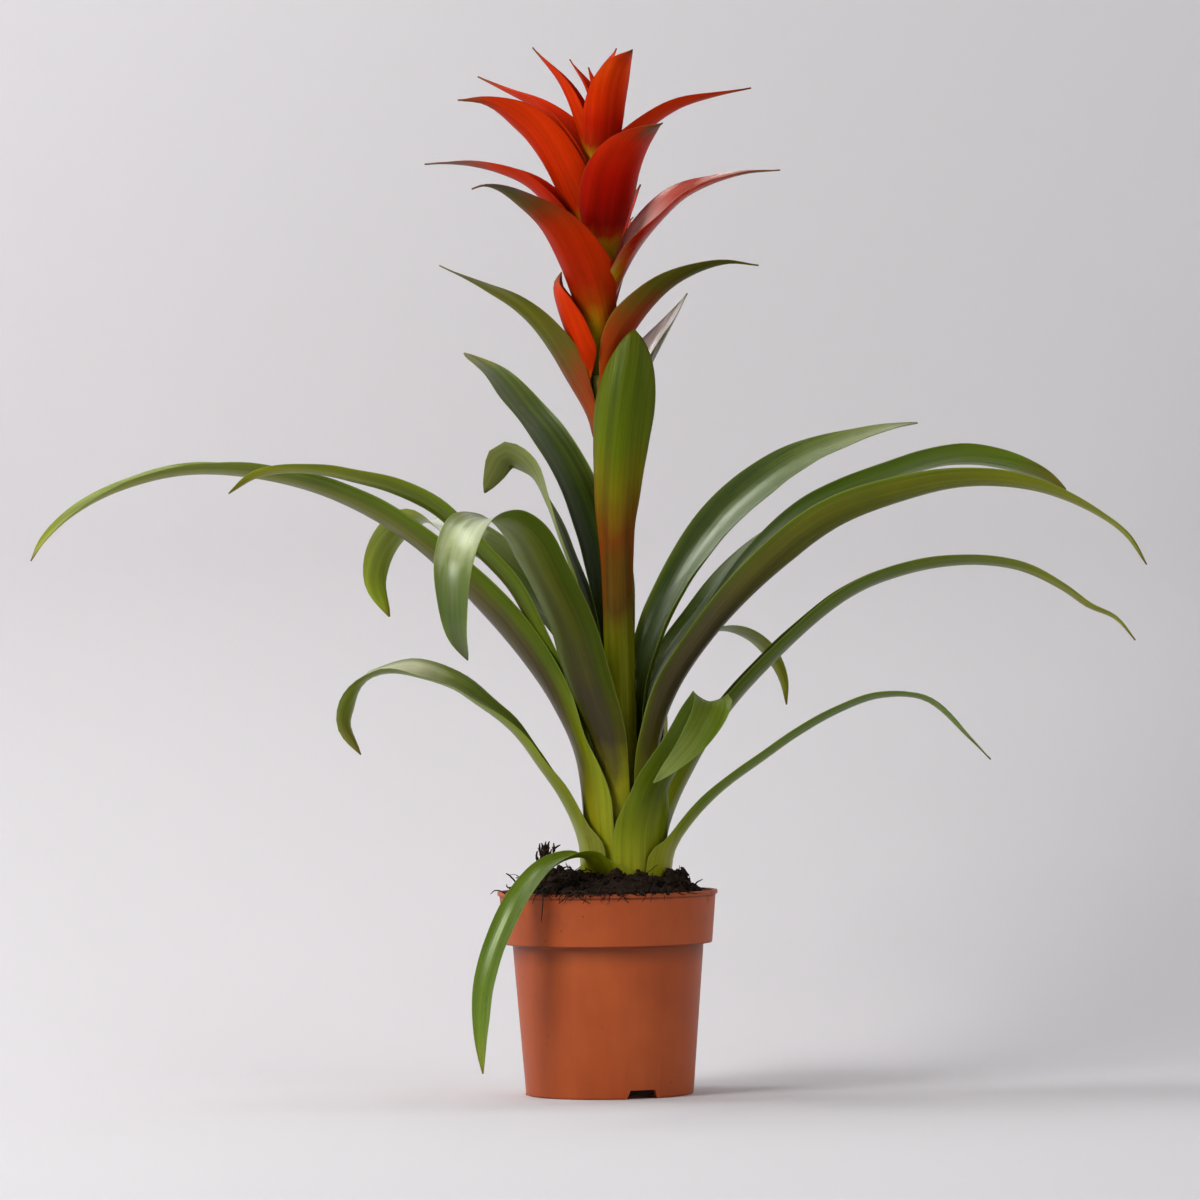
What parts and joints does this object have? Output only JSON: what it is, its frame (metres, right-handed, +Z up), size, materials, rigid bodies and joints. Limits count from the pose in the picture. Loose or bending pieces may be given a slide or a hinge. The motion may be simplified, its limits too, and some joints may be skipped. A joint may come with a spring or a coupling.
{
  "type": "potted bromeliad plant",
  "caption": "Potted bromeliad: arching strap leaves in a funnel round a leaning spike of red and orange bracts with dry tips, in a terracotta-coloured nursery pot with dark peat.",
  "frame": {"origin": "centre of the flat base of the pot", "axes": "+Z up out of the pot, -Y towards the viewer in the picture, +X to the viewer's right"},
  "size_m": [0.6555, 0.4043, 0.6203],
  "materials": {
    "pot": "terracotta-orange satin moulded plastic",
    "soil": "dark damp peat with clods and root fibres",
    "stem": "fresh green stem",
    "leaf": "glossy green leaf",
    "dark_leaf": "glossy dark green leaf",
    "green_bract": "waxy olive green bract, brown towards its base",
    "red_bract": "waxy red bract with a grey-green dry tip",
    "orange_bract": "waxy orange-red bract with a grey-green dry tip"
  },
  "bodies": {
    "root": {"pot": "pot", "soil": "soil", "stem": "stem", "leaf_front_drooping": "dark_leaf", "leaf_back_low": "dark_leaf", "leaf_right_lowest": "dark_leaf", "leaf_left_lowest": "dark_leaf", "leaf_front_folded": "dark_leaf", "leaf_back_middle": "dark_leaf", "leaf_left_long": "leaf", "leaf_right_middle": "leaf", "leaf_left_upper": "leaf", "leaf_right_back_low": "leaf", "leaf_right_big": "leaf", "leaf_left_back": "leaf", "leaf_front_arching": "leaf", "leaf_right_back": "leaf", "leaf_left_inner": "leaf", "leaf_back_tall": "leaf", "leaf_right_upper": "leaf", "leaf_back_upright": "leaf", "scape_bract_front": "green_bract", "scape_bract_back": "green_bract", "bract_01_left": "green_bract", "bract_02_right_back": "orange_bract", "bract_03_back": "orange_bract", "bract_04_right": "orange_bract", "bract_05_left_back": "orange_bract", "bract_06_left_front": "red_bract", "bract_07_back": "orange_bract", "bract_08_right": "red_bract", "bract_09_back_left": "orange_bract", "bract_10_right_back": "orange_bract", "bract_11_left": "orange_bract", "bract_12_front": "red_bract", "bract_13_left": "orange_bract", "bract_14_back": "red_bract", "bract_15_right": "orange_bract", "bract_16_left_back": "orange_bract", "bract_17_front": "red_bract", "bract_18_left": "orange_bract", "bract_19_top_back": "red_bract", "bract_20_top_left": "red_bract", "bract_21_top_front": "red_bract"}
  },
  "joints": []
}
